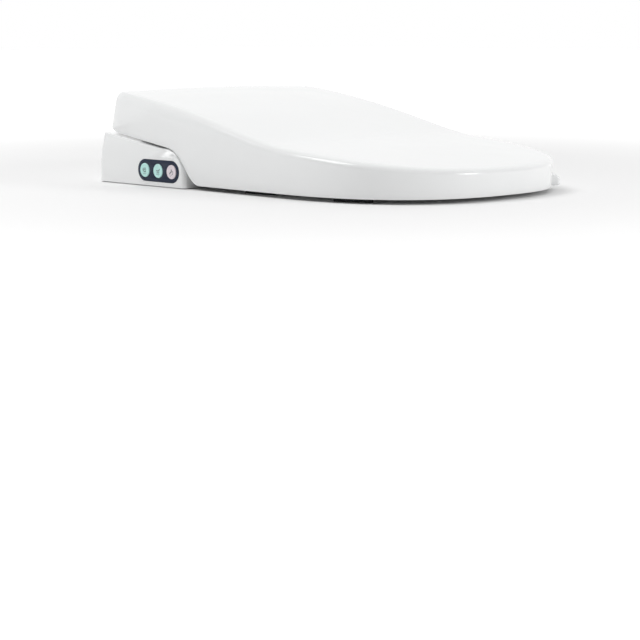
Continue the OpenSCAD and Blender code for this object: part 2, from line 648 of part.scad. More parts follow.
float_at = [-60, 108];
module heater_tank() {
    t = 3;
    color("whitesmoke") from_rear() difference() {
        slab(tank_x, tank_d, tank_z);
        slab(tank_x + [t, -t], tank_d + [t, -t], tank_z + [t, -t]);
        translate([float_at[0], float_at[1], tank_z[1] - t - 1]) cylinder(h = t + 2, r = 3);
    }
}
module heater_element() {
    color("darkgoldenrod") from_rear() {
        for (d = [92, 124]) rod_x(tank_x[0] + 10, tank_x[1] - 3, d, 26, 4);
        slab([tank_x[0] + 6, tank_x[0] + 12], [88, 128], [22, 30]);
    }
}
module float_switch() {
    color("ivory") from_rear() translate([float_at[0], float_at[1], 0]) {
        translate([0, 0, 40]) cylinder(h = 30, r = 2.8);
        translate([0, 0, 46]) cylinder(h = 12, r = 9);
        translate([0, 0, tank_z[1]]) cylinder(h = 7, r = 8);
    }
}
diverter_at = [30, 76];
module diverter_valve() {
    color("whitesmoke") from_rear() translate([diverter_at[0], diverter_at[1], tray_top]) {
        cylinder(h = 26, r = 12);
        cylinder(h = 38, r = 8);
    }
}
hose_r = 4;
// straight runs between corners, with a ball at every corner
module hose(points) {
    for (i = [0:len(points) - 2]) {
        run = points[i + 1] - points[i];
        along = abs(run[0]) > 0 ? [0, sign(run[0]) * 90, 0] : [-sign(run[1]) * 90, 0, 0];
        translate(points[i]) rotate(along) cylinder(h = norm(run), r = hose_r);
    }
    for (i = [1:len(points) - 2]) translate(points[i]) sphere(r = hose_r);
}
module water_hoses() {
    color("lightgray") from_rear() {
        hose([[124, inlet_d - 9, 20], [124, 45, 20], [-60, 45, 20], [-60, tank_d[0], 20]]);
        hose([[tank_x[1], diverter_at[1], 24], [diverter_at[0] - 12, diverter_at[1], 24]]);
    }
}

// ---------- warm air dryer ----------
fan_d = 98;
fan_z = 44;
dryer_x = [58, 96];
module dryer_housing() {
    t = 2;
    color(white_plastic) from_rear() difference() {
        union() {
            rod_x(dryer_x[0], dryer_x[1], fan_d, fan_z, 30);
            slab(dryer_x, [fan_d + 8, hump_front_d - 9], [tray_top, 36]);
        }
        rod_x(dryer_x[0] + t, dryer_x[1] - t, fan_d, fan_z, 28);
        slab(dryer_x + [t, -t], [fan_d + 8, hump_front_d], [tray_top + t, 36 - t]);
        rod_x(dryer_x[1] - t - 1, dryer_x[1] + 1, fan_d, fan_z, 16);
        rod_x(dryer_x[0] - 1, dryer_x[0] + t + 1, fan_d, fan_z, 3);
    }
}
module dryer_impeller() {
    inner = 18;
    outer = 25;
    color("dimgray") from_rear() translate([dryer_x[0] + 4, fan_d, fan_z]) rotate([0, 90, 0]) difference() {
        union() {
            cylinder(h = 1.6, r = outer);
            cylinder(h = 12, r = 6);
            for (k = [0:17]) rotate([0, 0, 20 * k]) translate([inner, -0.7, 0])
                cube([outer - inner - 0.5, 1.4, 26]);
            translate([0, 0, 24]) difference() {
                cylinder(h = 2, r = outer);
                translate([0, 0, -1]) cylinder(h = 4, r = inner);
            }
        }
        translate([0, 0, -1]) cylinder(h = 20, r = 2 + pin_gap);
    }
}
module dryer_motor() {
    color(steel) from_rear() {
        rod_x(dryer_x[0] - 17, dryer_x[0], fan_d, fan_z, 14);
        rod_x(dryer_x[0], dryer_x[0] + 13, fan_d, fan_z, 2);
    }
}
module dryer_heater() {
    color("goldenrod") from_rear() difference() {
        slab(dryer_x + [2, -2], [136, 156], [tray_top + 2, 34]);
        for (k = [0:6]) slab(around(dryer_x[0] + 6.7 + 4.1 * k, 1.4), [135, 157], [tray_top + 4, 32]);
    }
}
module dryer_flap() {
    color(shell_white) from_rear() {
        slab(flap_x, [hump_front_d - 3.6, hump_front_d - 1.2], [flap_z[0], flap_axis[1]]);
        rod_x(flap_x[0] - 3.5, flap_x[1] + 3.5, flap_axis[0], flap_axis[1], 1.5);
    }
}

// ---------- deodoriser ----------
deo_x = [112, base_half - base_t - gap];
deo_fan = [125, 23];
module deodoriser_housing() {
    t = 2;
    color(white_plastic) from_rear() difference() {
        slab(deo_x, [filter_d[0] - t, filter_d[1] + t], [filter_z[0] - t, filter_z[1] + t]);
        slab([deo_x[0] + t, base_half], filter_d, filter_z);
        rod_x(deo_x[0] - 1, deo_x[0] + t + 1, deo_fan[0], deo_fan[1], 8);
        slab([deo_x[0] + t, deo_x[0] + 20], [filter_d[1] - 3, filter_d[1] + t + 1], [18, 28]);
    }
    color(white_plastic) from_rear() {
        rod_x(deo_x[0] + 3, deo_x[0] + 13, deo_fan[0], deo_fan[1], 1.5);
        slab([deo_x[0], deo_x[0] + 3], filter_d + [-t, t], around(deo_fan[1], 2));
    }
}
module deodoriser_fan() {
    color("dimgray") from_rear() translate([deo_x[0] + 5, deo_fan[0], deo_fan[1]]) rotate([0, 90, 0])
    difference() {
        union() {
            cylinder(h = 9, r = 3.6);
            for (k = [0:8]) rotate([0, 0, 40 * k]) translate([3, -0.5, 0]) cube([6.4, 1, 9]);
            cylinder(h = 1, r = 9.6);
        }
        translate([0, 0, -1]) cylinder(h = 12, r = 1.5 + pin_gap);
    }
}
module deodoriser_filter() {
    g = 0.4;
    color("dimgray") from_rear() difference() {
        slab([base_half - 42, base_half + 0.4], filter_d + [g, -g], filter_z + [g, -g]);
        for (k = [0:4]) slab([base_half - 43, base_half - 3], around(filter_d[0] + 5 + 7 * k, 2),
            filter_z + [3, -3]);
        for (k = [0:2]) slab([base_half - 4, base_half + 1], filter_d + [4, -4],
            around(filter_z[0] + 6 + 5 * k, 1.5));
    }
}

// ---------- electrics ----------
module power_board() {
    color(board_green) from_rear() {
        slab([-126, -20], [14, 39], [tray_top, tray_top + 1.6]);
        for (x = [-64, -50, -36]) translate([x, 27, tray_top]) cylinder(h = 18, r = 6);
    }
}
module transformer() {
    color("darkslategray") from_rear() slab([-118, -82], [17, 38], [tray_top + 1.6, 38]);
}
module main_board() {
    color(board_green) from_rear() {
        slab([14, 118], [14, 39], [tray_top, tray_top + 1.6]);
        slab([40, 60], [18, 34], [tray_top, tray_top + 4]);
        for (k = [0:4]) slab(around(81.25 + 5 * k, 1.25), [17, 36], [tray_top, 28]);
        slab([80, 102.5], [17, 36], [tray_top, tray_top + 4]);
    }
}
module cord_gland() {
    color("dimgray") from_rear() difference() {
        union() {
            rod_x(base_half - 12, base_half + 2, gland_d, gland_z, gland_r);
            rod_x(base_half, base_half + 2, gland_d, gland_z, gland_r + 2.4);
            rod_x(base_half - base_t - 5, base_half - base_t, gland_d, gland_z, gland_r + 2.4);
        }
        rod_x(base_half - 13, base_half + 3, gland_d, gland_z, 3.6);
    }
}
module remote_window() {
    color([0.25, 0.1, 0.12]) from_rear() slab([base_half - 4, base_half + 0.3], window_d + [0.2, -0.2],
        window_z + [0.2, -0.2]);
}
module release_button() {
    color("lightgray") from_rear() {
        slab([base_half - 9, base_half + 1.4], release_d + [gap, -gap], release_z + [gap, -gap]);
        slab([base_half - 11, base_half - base_t - 0.6], release_d + [-3, 3], release_z + [-2, 2]);
        slab([base_half - 32, base_half - 9], [88, 92], [15, 19]);
    }
}

mounting_plate();
base_tray();
base_cover();
base_pads();
cover_screws();
control_bezel();
button_rear_wash();
button_front_wash();
button_stop();
button_switches();
control_board();
lid_shell();
lid_hinge_arms();
lid_bumpers();
seat_top_shell();
seat_bottom_shell();
seat_heater();
seat_hinge_arms();
seat_bumpers();
seat_screws();
hinge_pins();
lid_damper();
seat_damper();
nozzle_guide();
nozzle_wand();
nozzle_head();
nozzle_pinion();
nozzle_motor();
nozzle_shutter();
inlet_fitting();
inlet_filter();
solenoid_valve();
flow_sensor();
heater_tank();
heater_element();
float_switch();
diverter_valve();
water_hoses();
dryer_housing();
dryer_impeller();
dryer_motor();
dryer_heater();
dryer_flap();
deodoriser_housing();
deodoriser_fan();
deodoriser_filter();
power_board();
transformer();
main_board();
cord_gland();
remote_window();
release_button();
occupancy_sensor();
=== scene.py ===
import json
import math

import bmesh
import bpy
from mathutils import Matrix, Vector


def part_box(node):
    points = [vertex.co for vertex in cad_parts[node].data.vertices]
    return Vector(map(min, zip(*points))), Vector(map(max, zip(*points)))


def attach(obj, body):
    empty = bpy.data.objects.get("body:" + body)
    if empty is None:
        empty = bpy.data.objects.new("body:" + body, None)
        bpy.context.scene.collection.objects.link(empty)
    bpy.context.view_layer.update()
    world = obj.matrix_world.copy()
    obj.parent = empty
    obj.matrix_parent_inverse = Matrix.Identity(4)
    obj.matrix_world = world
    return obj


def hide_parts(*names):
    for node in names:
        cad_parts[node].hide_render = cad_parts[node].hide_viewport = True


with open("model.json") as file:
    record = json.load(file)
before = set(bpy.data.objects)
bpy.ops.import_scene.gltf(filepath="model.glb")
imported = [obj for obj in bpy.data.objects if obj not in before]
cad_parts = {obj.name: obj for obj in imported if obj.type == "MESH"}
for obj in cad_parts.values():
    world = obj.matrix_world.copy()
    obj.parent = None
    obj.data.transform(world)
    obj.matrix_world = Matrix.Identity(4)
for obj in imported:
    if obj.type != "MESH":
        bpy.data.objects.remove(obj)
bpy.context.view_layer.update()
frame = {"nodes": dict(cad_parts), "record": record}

# ---------- sizes, in millimetres, with d measured forward from the rear edge ----------
MM = 0.001
REAR_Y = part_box("base_cover")[1].y
LID_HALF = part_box("lid_shell")[1].x / MM
LENGTH = (REAR_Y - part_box("lid_shell")[0].y) / MM
WIDEST_D = 347
REAR_D = 22
CORNER_R = 16
CORNER_BLEND = 60
LEAST_R = 2
LID_WALL = 2.8
LID_GAP = 5.5
LID_FRONT_H = 39
LID_SLOPE = 0.1
LID_HUMP = 29
LID_CROWN = 3.5
ROUND_INSET = 11
NOSE = LENGTH - WIDEST_D
NOSE_POWER = 2.52
LIP_D = 31
CREASE_END_D = 112
FACET_INSET = 8
BASE_H = 64
BASE_L = 173
ARM_FLAT_D = 128
ARM_FLAT_Z = BASE_H - 15.5
REAR_CUT_HALF = 159.5
REAR_CUT_TOP = 106
REAR_CUT_DEPTH = 40
BLEND_D = 300
TAB_HALF_W = 13.5
TAB_LENGTH = 11.0
TAB_HEIGHT = 14.0
TAB_ROOT = 3.6
TAB_ALONG = 0.782
TAB_AHEAD = 0.736


def place(x, d, z):
    """A point in metres from millimetres across, forward of the rear edge and up."""
    return Vector((x * MM, REAR_Y - d * MM, z * MM))


def lerp(a, b, t):
    return a + (b - a) * t


def unit(t):
    return max(0.0, min(1.0, t))


def smooth(t):
    t = unit(t)
    return t * t * (3 - 2 * t)


def smoother(t):
    t = unit(t)
    return t * t * t * (t * (6 * t - 15) + 10)


# ---------- camera ----------
CAMERA_AT = (-1.6219, -1.7450, 0.1963)
CAMERA_TURN = math.radians(45.213)
CAMERA_DOWN = math.radians(9.286)
CAMERA_LENS = 100.34


def make_camera():
    data = bpy.data.cameras.new("camera")
    data.lens = CAMERA_LENS
    data.sensor_width = 36
    data.clip_end = 100
    camera = bpy.data.objects.new("camera", data)
    level = math.cos(CAMERA_DOWN)
    ahead = Vector((math.sin(CAMERA_TURN) * level, math.cos(CAMERA_TURN) * level, -math.sin(CAMERA_DOWN)))
    camera.location = CAMERA_AT
    camera.rotation_euler = ahead.to_track_quat("-Z", "Y").to_euler()
    bpy.context.scene.collection.objects.link(camera)
    bpy.context.scene.camera = camera


make_camera()
bpy.context.scene.view_settings.view_transform = "Standard"


# ---------- materials ----------
def linear(hex_colour):
    """An sRGB colour such as f4f5f5 as linear red, green, blue and 1."""
    parts = [int(hex_colour[i:i + 2], 16) / 255 for i in (0, 2, 4)]
    return tuple(c / 12.92 if c <= 0.04045 else ((c + 0.055) / 1.055) ** 2.4 for c in parts) + (1.0,)


def add(tree, kind, inputs=None, **settings):
    """Adds one node with its settings, its inputs set to a value or linked to an output."""
    made = tree.nodes.new(kind)
    for key, value in settings.items():
        setattr(made, key, value)
    for socket, value in (inputs or {}).items():
        if isinstance(value, bpy.types.NodeSocket):
            tree.links.new(value, made.inputs[socket])
        else:
            made.inputs[socket].default_value = value
    return made


def per_mm(size):
    """The scale of a pattern whose features are that many millimetres apart."""
    return 1000 / size


def start(name):
    material = bpy.data.materials.new(name)
    material.use_nodes = True
    material.node_tree.nodes.clear()
    return material, material.node_tree


def surface(tree, colour, roughness, normal, **constants):
    """The shader and its output; constants are set on the shader's own sockets."""
    inputs = {"Base Color": colour, "Roughness": roughness, "Normal": normal}
    inputs.update(constants)
    shader = add(tree, "ShaderNodeBsdfPrincipled", inputs)
    add(tree, "ShaderNodeOutputMaterial", {"Surface": shader.outputs["BSDF"]})


def plastic(name, colour, shade, roughness, spread, cloud, grain, depth, **constants):
    """A moulded plastic: colour drifts to shade over cloud mm, with a grain in mm that is depth mm deep."""
    material, tree = start(name)
    where = add(tree, "ShaderNodeTexCoord").outputs["Object"]
    drift = add(tree, "ShaderNodeTexNoise", {"Vector": where, "Scale": per_mm(cloud), "Detail": 3.0})
    tone = add(tree, "ShaderNodeMix", {"Factor": drift.outputs["Fac"], "A": linear(colour),
                                       "B": linear(shade)}, data_type="RGBA")
    gloss = add(tree, "ShaderNodeMapRange", {"Value": drift.outputs["Fac"], "From Min": 0.3, "From Max": 0.7,
                                             "To Min": roughness - spread, "To Max": roughness + spread})
    texture = add(tree, "ShaderNodeTexNoise", {"Vector": where, "Scale": per_mm(grain), "Detail": 2.0})
    relief = add(tree, "ShaderNodeBump", {"Height": texture.outputs["Fac"], "Strength": 1.0,
                                          "Distance": depth * MM})
    surface(tree, tone.outputs["Result"], gloss.outputs["Result"], relief.outputs["Normal"], **constants)
    return material


def metal(name, colour, shade, roughness, spread, cloud, stretch, grain, depth):
    """A metal whose marks are drawn out by stretch along x, y and z."""
    material, tree = start(name)
    where = add(tree, "ShaderNodeTexCoord").outputs["Object"]
    drawn = add(tree, "ShaderNodeMapping", {"Vector": where, "Scale": stretch})
    drift = add(tree, "ShaderNodeTexNoise", {"Vector": where, "Scale": per_mm(cloud), "Detail": 4.0})
    marks = add(tree, "ShaderNodeTexNoise", {"Vector": drawn.outputs["Vector"], "Scale": per_mm(grain),
                                             "Detail": 3.0})
    tone = add(tree, "ShaderNodeMix", {"Factor": drift.outputs["Fac"], "A": linear(colour),
                                       "B": linear(shade)}, data_type="RGBA")
    gloss = add(tree, "ShaderNodeMapRange", {"Value": marks.outputs["Fac"], "From Min": 0.3, "From Max": 0.7,
                                             "To Min": roughness - spread, "To Max": roughness + spread})
    relief = add(tree, "ShaderNodeBump", {"Height": marks.outputs["Fac"], "Strength": 1.0,
                                          "Distance": depth * MM})
    surface(tree, tone.outputs["Result"], gloss.outputs["Result"], relief.outputs["Normal"], Metallic=1.0)
    return material


def solder_mask():
    """Glass-fibre board under green solder mask: copper tracks show as raised, lighter lines 2 mm apart."""
    material, tree = start("green_solder_mask")
    where = add(tree, "ShaderNodeTexCoord").outputs["Object"]
    tracks = add(tree, "ShaderNodeTexBrick", {"Vector": where, "Scale": per_mm(6), "Mortar Size": 0.06,
                                              "Color1": (0, 0, 0, 1), "Color2": (0, 0, 0, 1),
                                              "Mortar": (1, 1, 1, 1)})
    tone = add(tree, "ShaderNodeMix", {"Factor": tracks.outputs["Fac"], "A": linear("1c5a3a"),
                                       "B": linear("2f7d4f")}, data_type="RGBA")
    relief = add(tree, "ShaderNodeBump", {"Height": tracks.outputs["Fac"], "Strength": 1.0,
                                          "Distance": 0.05 * MM})
    surface(tree, tone.outputs["Result"], 0.38, relief.outputs["Normal"], IOR=1.5)
    return material


def crinkled_foil():
    """Aluminium foil stuck over a heating wire: flat facets a few millimetres wide."""
    material, tree = start("crinkled_aluminium_foil")
    where = add(tree, "ShaderNodeTexCoord").outputs["Object"]
    folds = add(tree, "ShaderNodeTexVoronoi", {"Vector": where, "Scale": per_mm(5)})
    fine = add(tree, "ShaderNodeTexNoise", {"Vector": where, "Scale": per_mm(1.5), "Detail": 2.0})
    gloss = add(tree, "ShaderNodeMapRange", {"Value": fine.outputs["Fac"], "To Min": 0.24, "To Max": 0.42})
    relief = add(tree, "ShaderNodeBump", {"Height": folds.outputs["Distance"], "Strength": 1.0,
                                          "Distance": 0.25 * MM})
    surface(tree, linear("d5d7da"), gloss.outputs["Result"], relief.outputs["Normal"], Metallic=1.0)
    return material


FINISHES = {
    # polished white ABS: a mirror-like skin with a slow, faint orange peel
    "white_shell": plastic("polished_white_abs", "f3f4f4", "f0f1f1", 0.2, 0.03, 90, 14, 0.012, IOR=1.52,
                           **{"Coat Weight": 0.25, "Coat Roughness": 0.06}),
    # polypropylene with a fine spark-eroded texture, satin
    "inner_plastic": plastic("satin_polypropylene", "e3e5e6", "d9dcde", 0.46, 0.05, 30, 0.9, 0.02, IOR=1.49),
    # polished ABS tube, slightly cooler than the shells
    "wand_plastic": plastic("polished_wand_abs", "eef0f2", "e6e9ec", 0.24, 0.03, 25, 5, 0.01, IOR=1.52),
    # tinted, polished acetal of the nozzle's tip
    "head_plastic": plastic("tinted_acetal", "c3e4e1", "b2d9d6", 0.26, 0.03, 12, 3, 0.01, IOR=1.48),
    # in-mould decorated panel: deep navy under clear gloss
    "bezel": plastic("navy_gloss_panel", "202c42", "1c273b", 0.3, 0.04, 14, 2, 0.006, IOR=1.34),
    # mint keys of satin polycarbonate
    "button_mint": plastic("mint_satin_key", "c6f1ec", "b9eae4", 0.33, 0.04, 6, 0.7, 0.008, IOR=1.55,
                           **{"Coat Weight": 0.2, "Coat Roughness": 0.15}),
    # pale pinkish grey key of the same plastic
    "button_pink": plastic("pink_grey_satin_key", "ece2e7", "e0d3da", 0.33, 0.04, 6, 0.7, 0.008, IOR=1.55,
                           **{"Coat Weight": 0.2, "Coat Roughness": 0.15}),
    # moulded EPDM rubber, dull, with a bloom that greys it in places
    "black_rubber": plastic("moulded_black_rubber", "242527", "35373a", 0.72, 0.08, 8, 0.5, 0.03, IOR=1.52),
    # black glass-filled nylon, lightly grained
    "dark_plastic": plastic("black_nylon", "2b2d30", "3a3c40", 0.5, 0.06, 12, 0.6, 0.02, IOR=1.53),
    "circuit_board": solder_mask(),
    # zinc-plated steel: bluish grey with soft blotches and faint rolling marks
    "steel": metal("zinc_plated_steel", "c3c7cc", "a6abb2", 0.34, 0.08, 18, (0.15, 1.0, 1.0), 0.8, 0.006),
    "foil": crinkled_foil(),
    # turned brass: fine tool rings round the fitting's axis
    "brass_fitting": metal("turned_brass", "c79a4c", "b3863d", 0.28, 0.06, 9, (1.0, 0.2, 0.2), 0.5, 0.01),
    # heater sheath browned by heat
    "element": metal("heat_browned_sheath", "8a6a48", "5d4836", 0.42, 0.08, 7, (1.0, 1.0, 1.0), 0.9, 0.02),
    # milky silicone hose
    "hose": plastic("milky_silicone", "dfe3e5", "cfd5d8", 0.42, 0.05, 10, 1.2, 0.01, IOR=1.41),
    # grained grey ABS
    "release_grey": plastic("grey_grained_abs", "b4b7ba", "a9acb0", 0.45, 0.05, 10, 0.6, 0.02, IOR=1.52),
    # dark red acrylic that passes infra-red
    "window": plastic("dark_red_acrylic", "3a1418", "2c0f13", 0.14, 0.02, 6, 4, 0.004, IOR=1.49,
                      **{"Coat Weight": 0.5, "Coat Roughness": 0.05}),
    # dark grey pad print on the keys
    "print": plastic("dark_grey_print", "5f6f70", "6b7b7b", 0.5, 0.05, 3, 0.4, 0.004, IOR=1.5),
}
SLOT_OF = {row["node"]: row["material_slot"] for row in frame["record"]["subparts"]}
BODY_OF = {node: body for body, nodes in frame["record"]["behaviour"]["bodies"].items() for node in nodes}


# ---------- making pieces ----------
SHARP = math.radians(32)


def finish_piece(name, bm, slot, body, *replaced, finish=None):
    """A finished mesh object that rides on a body and, where it names nodes, stands for them."""
    mesh = bpy.data.meshes.new(name)
    bm.to_mesh(mesh)
    bm.free()
    mesh.shade_smooth()
    mesh.set_sharp_from_angle(angle=SHARP)
    mesh.materials.append(FINISHES[finish or slot])
    piece = bpy.data.objects.new(name, mesh)
    bpy.context.scene.collection.objects.link(piece)
    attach(piece, body)
    if replaced:
        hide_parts(*replaced)
    return piece


def subdivide(piece, levels):
    modifier = piece.modifiers.new("smooth", "SUBSURF")
    modifier.levels = levels
    modifier.render_levels = levels


def softened(node, radius, shortest=0.0):
    """A copy of a CAD node with its sharp edges rounded, where they are longer than shortest, in mm."""
    bm = bmesh.new()
    bm.from_mesh(frame["nodes"][node].data)
    bmesh.ops.remove_doubles(bm, verts=bm.verts, dist=0.002 * MM)
    bmesh.ops.dissolve_limit(bm, angle_limit=math.radians(0.6), verts=bm.verts, edges=bm.edges)
    sharp = [e for e in bm.edges if len(e.link_faces) == 2 and abs(e.calc_face_angle_signed(0)) > SHARP
             and e.calc_length() > shortest * MM]
    bmesh.ops.bevel(bm, geom=sharp, offset=radius * MM, offset_type="OFFSET", segments=2, profile=0.5,
                    affect="EDGES", clamp_overlap=True, material=-1)
    return finish_piece(node + "_finished", bm, SLOT_OF[node], BODY_OF[node], node)


TURNED_STEPS = 48


def turned(profile, centre, axis):
    """A shape spun round a line along axis through centre; profile holds (distance along, radius) in mm."""
    bm = bmesh.new()
    side = Vector((0, 0, 1)) if abs(axis.z) < 0.9 else Vector((1, 0, 0))
    verts = [bm.verts.new(centre + axis * (along * MM) + side * (radius * MM)) for along, radius in profile]
    edges = [bm.edges.new(pair) for pair in zip(verts, verts[1:])]
    bmesh.ops.spin(bm, geom=verts + edges, cent=centre, axis=axis, angle=2 * math.pi, steps=TURNED_STEPS,
                   use_merge=True)
    bmesh.ops.remove_doubles(bm, verts=bm.verts, dist=0.001 * MM)
    bmesh.ops.recalc_face_normals(bm, faces=bm.faces)
    return bm


# ---------- lid ----------
def lid_low(d):
    over = lerp(BASE_H + 1.9, ARM_FLAT_Z + 2.2, (d - LIP_D) / (ARM_FLAT_D + 3 - LIP_D))
    t = unit((d - ARM_FLAT_D - 3) / (BASE_L + 27 - ARM_FLAT_D - 3)) ** 1.32
    return lerp(over, LID_GAP, smoother(t))


def lid_top(d):
    return LID_FRONT_H + LID_SLOPE * (LENGTH - d) + LID_HUMP * (
        1 - math.exp(-(max(0.0, WIDEST_D - 12 - d) / 150) ** 1.6)) - 1.5 * unit((75 - d) / 53) ** 2


def lid_drop(d):
    return 6.5 + 1 * smooth((LENGTH - 20 - d) / 120) + 7 * smooth((260 - d) / 110)


def rounding(d):
    return lerp(0.6, 1, smooth((d - REAR_D) / 120))


def lid_half_at(d):
    return LID_HALF - 3 * ((WIDEST_D - d) / (WIDEST_D - REAR_D)) ** 2


CORNER_X = lid_half_at(REAR_D + CORNER_R) - CORNER_R


def lid_stations():
    """(x, d, outward x, outward d) round the right half of the outline, from the rear to the front."""
    found = [(REAR_CUT_HALF * i / 7, REAR_D, 0.0, -1.0) for i in range(8)]
    for i in range(5):
        a = math.radians(22.5 * i)
        found.append((CORNER_X + CORNER_R * math.sin(a), REAR_D + CORNER_R - CORNER_R * math.cos(a),
                      math.sin(a), -math.cos(a)))
    side = [lerp(REAR_D + CORNER_R, 125, i / 9) for i in range(1, 10)]
    side += [lerp(125, 215, i / 18) for i in range(1, 19)]
    side += [lerp(215, WIDEST_D, i / 12) for i in range(1, 13)]
    found += [(lid_half_at(d), d, 1.0, 0.0) for d in side]
    for i in range(1, 21):
        a = math.radians(4.5 * i)
        x = max(0.0, math.cos(a)) ** (2 / NOSE_POWER)
        y = math.sin(a) ** (2 / NOSE_POWER)
        out = Vector((x ** (NOSE_POWER - 1) / LID_HALF, y ** (NOSE_POWER - 1) / NOSE)).normalized()
        found.append((LID_HALF * x if i < 20 else 0.0, WIDEST_D + NOSE * y, out.x if i < 20 else 0.0, out.y))
    return found


STATIONS = lid_stations()
LAST = len(STATIONS) - 1


def rear_crown(x, d):
    return (1 - (x / LID_HALF) ** 2) * smooth((BLEND_D - d) / 200)


def lid_point(station, level):
    """Where a station lies at a level: 0 the lower edge, 1 the crease, 2 the ridge, 5 the top edge."""
    x, y, out_x, out_y = STATIONS[abs(station)]
    d = max(y, LIP_D)
    back = max(0.0, -out_y) ** 2
    wedge = 1 - unit((d - REAR_D) / (CREASE_END_D - REAR_D))
    ridge = lid_top(d) - lid_drop(d)
    crease = min(ridge - 1, lerp(lid_low(LIP_D) + 1, ridge, unit((d - LIP_D) / (CREASE_END_D - LIP_D))))
    lean = FACET_INSET * wedge
    under = lerp(4, 1.5, smooth((d - 190) / 190))
    drop = lid_drop(d)
    side = ((under, lid_low(d)), (0, crease), (lean, ridge), (lean + 1.2 * rounding(d), ridge + drop * 0.45),
            (lean + 4.5 * rounding(d), ridge + drop * 0.8), (lean + ROUND_INSET * rounding(d), lid_top(d)))
    end = ((6, lid_low(LIP_D)), (0, 77), (4.5, REAR_CUT_TOP), (5.6, 108.3), (8.5, 110.8),
           (14, lid_top(REAR_D + 14) - 1.2))
    crown = (0, 0, 0.5, 0.8, 0.9, 1)[level] * LID_CROWN * rear_crown(x, y)
    inset = lerp(side[level][0], end[level][0], back)
    height = lerp(side[level][1], end[level][1], back) + crown
    # an inset that is deeper than the corner's radius moves the corner diagonally, so it never folds
    main = min(inset, CORNER_R - LEAST_R)
    near = unit(1 - (y - REAR_D - CORNER_R) / CORNER_BLEND)
    if near == 0:
        push_x, push_y = out_x, out_y
    else:
        push_x, push_y = unit(1 - (CORNER_X - x) / CORNER_BLEND), -near
    across = x - out_x * main - push_x * (inset - main)
    return Vector((math.copysign(across, station) if station else 0.0,
                   y - out_y * main - push_y * (inset - main), height))


def lid_roof(x, d):
    """Height of the lid's top face."""
    lean = FACET_INSET * (1 - unit((d - REAR_D) / (CREASE_END_D - REAR_D)))
    if d < WIDEST_D:
        share = abs(x) / (lid_half_at(d) - lean - ROUND_INSET * rounding(d))
    else:
        share = ((abs(x) / (LID_HALF - ROUND_INSET)) ** NOSE_POWER
                 + ((d - WIDEST_D) / (NOSE - ROUND_INSET)) ** NOSE_POWER) ** (1 / NOSE_POWER)
    crown = lerp(1 - min(share, 1) ** 2, 1 - (x / LID_HALF) ** 2, smooth((BLEND_D - d) / 200))
    return lid_top(d) + LID_CROWN * crown - 1.2 * unit((70 - d) / 34) ** 6


REAR_SPAN = 10
SIDE_SPAN = LAST - 2 * REAR_SPAN


def lid_grid(bm):
    """The top face: a grid whose border is the top edge; every border vertex remembers its station."""
    station = bm.verts.layers.int.new("station")
    bmesh.ops.create_grid(bm, x_segments=2 * REAR_SPAN, y_segments=SIDE_SPAN, size=1.0)

    def rise(point):
        return Vector((point.x, point.y, point.z - lid_roof(point.x, point.y)))

    rear = [rise(lid_point(k, 5)) for k in range(-REAR_SPAN, REAR_SPAN + 1)]
    front = [rise(lid_point(int(math.copysign(LAST - abs(k), k)), 5))
             for k in range(-REAR_SPAN, REAR_SPAN + 1)]
    front[REAR_SPAN] = rise(lid_point(LAST, 5))
    front[REAR_SPAN].x = 0.0
    right = [rise(lid_point(REAR_SPAN + k, 5)) for k in range(SIDE_SPAN + 1)]
    left = [rise(lid_point(-REAR_SPAN - k, 5)) for k in range(SIDE_SPAN + 1)]
    for vert in bm.verts:
        column = round((vert.co.x + 1) * REAR_SPAN)
        row = round((vert.co.y + 1) / 2 * SIDE_SPAN)
        u = column / (2 * REAR_SPAN)
        v = row / SIDE_SPAN
        corners = (rear[0] * (1 - u) + rear[-1] * u) * (1 - v) + (front[0] * (1 - u) + front[-1] * u) * v
        point = rear[column] * (1 - v) + front[column] * v + left[row] * (1 - u) + right[row] * u - corners
        vert.co = place(point.x, point.y, point.z + lid_roof(point.x, point.y))
        k = column - REAR_SPAN
        if row == 0:
            vert[station] = k
        elif row == SIDE_SPAN:
            vert[station] = LAST if k == 0 else int(math.copysign(LAST - abs(k), k))
        elif column == 0:
            vert[station] = -REAR_SPAN - row
        elif column == 2 * REAR_SPAN:
            vert[station] = REAR_SPAN + row
    return station


def lid_skin():
    bm = bmesh.new()
    station = lid_grid(bm)
    crease = bm.edges.layers.float.new("crease_edge")
    for level in range(4, -1, -1):
        border = [e for e in bm.edges if e.is_boundary]
        grown = bmesh.ops.extrude_edge_only(bm, edges=border)["geom"]
        for vert in (g for g in grown if isinstance(g, bmesh.types.BMVert)):
            point = lid_point(vert[station], level)
            if abs(vert[station]) == LAST:
                point.x = 0.0
            vert.co = place(*point)
        if level in (1, 2):
            for edge in (g for g in grown if isinstance(g, bmesh.types.BMEdge) and g.is_boundary):
                d = (REAR_Y - edge.verts[0].co.y) / MM
                # the ridge is crisp at the rear; the crease stays sharp to its front end
                if level == 2:
                    edge[crease] = 0.65 * (1 - smooth((d - 70) / 90))
                else:
                    edge[crease] = 0.95 * (1 - smooth((d - 100) / 50))
    bmesh.ops.recalc_face_normals(bm, faces=bm.faces)
    # the rear edge is open around the hinge barrel and the seat's arms
    opening = [f for f in bm.faces if abs(f.calc_center_median().x) < REAR_CUT_HALF * MM
               and f.calc_center_median().z < REAR_CUT_TOP * MM
               and f.calc_center_median().y > REAR_Y - REAR_CUT_DEPTH * MM]
    bmesh.ops.delete(bm, geom=opening, context="FACES")
    return bm


